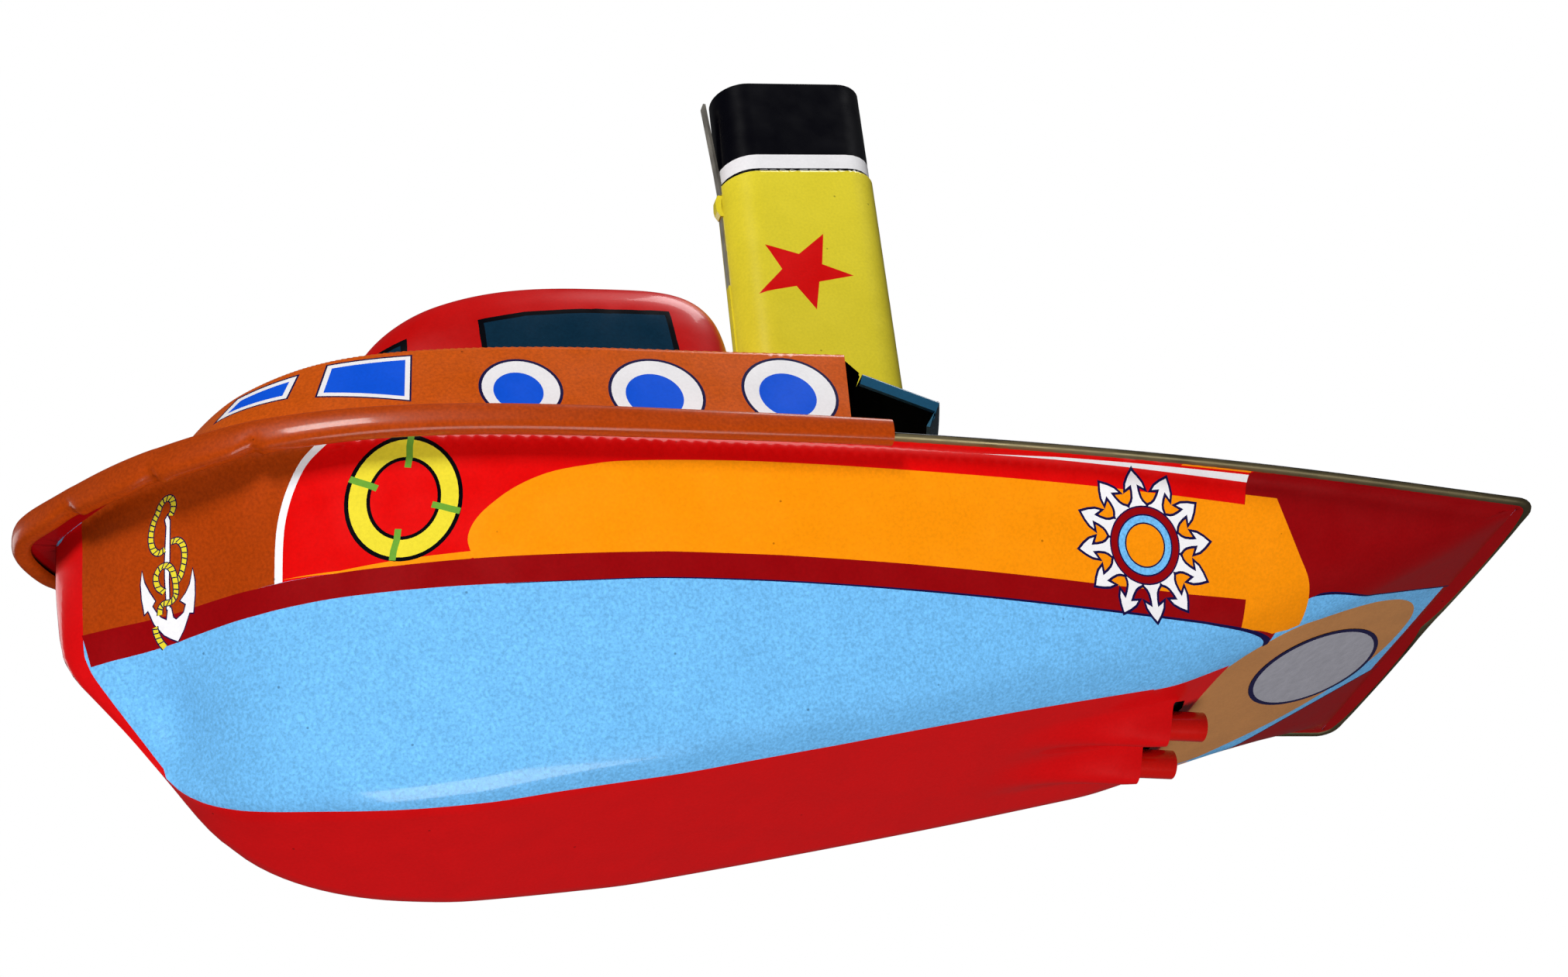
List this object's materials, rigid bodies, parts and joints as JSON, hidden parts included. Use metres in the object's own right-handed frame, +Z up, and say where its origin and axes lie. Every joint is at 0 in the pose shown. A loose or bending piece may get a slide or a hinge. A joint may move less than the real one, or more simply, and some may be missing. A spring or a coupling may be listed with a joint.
{
  "type": "toy boat",
  "caption": "Tinplate candle-powered putt-putt toy tug with printed hull, cabin, tall flat-sided funnel and a slide-out candle tray under its boiler.",
  "frame": {"origin": "centre of the boat's outline seen from above, on the surface it stands on", "axes": "+X towards the stern, +Y to starboard, +Z up with the boat standing on its bottom and its tube ends"},
  "size_m": [0.1374, 0.0536, 0.0837],
  "materials": {
    "hull_litho": "printed and varnished tinplate, glossy",
    "orange_litho": "printed and varnished tinplate, satin",
    "red_litho": "printed and varnished tinplate, glossy",
    "blue_enamel": "enamelled tinplate, satin",
    "yellow_litho": "printed and varnished tinplate, satin",
    "bare_tin": "dull bare tinplate",
    "brass": "satin",
    "red_tube": "lacquered tube, glossy",
    "solder": "dull",
    "wax": "wax, satin",
    "wick": "waxed cotton, matt",
    "paper": "uncoated paper, matt"
  },
  "bodies": {
    "boat": {"hull": "hull_litho", "deck_cabin": "orange_litho", "wheelhouse": "red_litho", "boiler_hood": "blue_enamel", "funnel": "yellow_litho", "boiler_pan": "bare_tin", "boiler_hanger_forward": "bare_tin", "boiler_hanger_aft": "bare_tin", "exhaust_tube_port": "red_tube", "exhaust_tube_starboard": "red_tube", "tube_collar_port": "solder", "tube_collar_starboard": "solder", "tube_strap_forward": "bare_tin", "tube_strap_aft": "bare_tin", "transom_label": "paper", "tray_guide_port": "bare_tin", "tray_guide_starboard": "bare_tin"},
    "candle_slide": {"candle_tray": "bare_tin", "candle_cup": "brass", "candle": "wax", "candle_wick": "wick"},
    "diaphragm": {"boiler_diaphragm": "brass"}
  },
  "joints": [
    {"name": "candle_tray_slide", "type": "slide", "parent": "boat", "child": "candle_slide", "axis": [0.9984, 0, 0.056], "range_m": [0, 0.03]},
    {"name": "diaphragm_pop", "type": "slide", "parent": "boat", "child": "diaphragm", "axis": [0.1772, 0, 0.9842], "range_m": [0, 0.0004], "stiffness_N_per_m": 400}
  ]
}
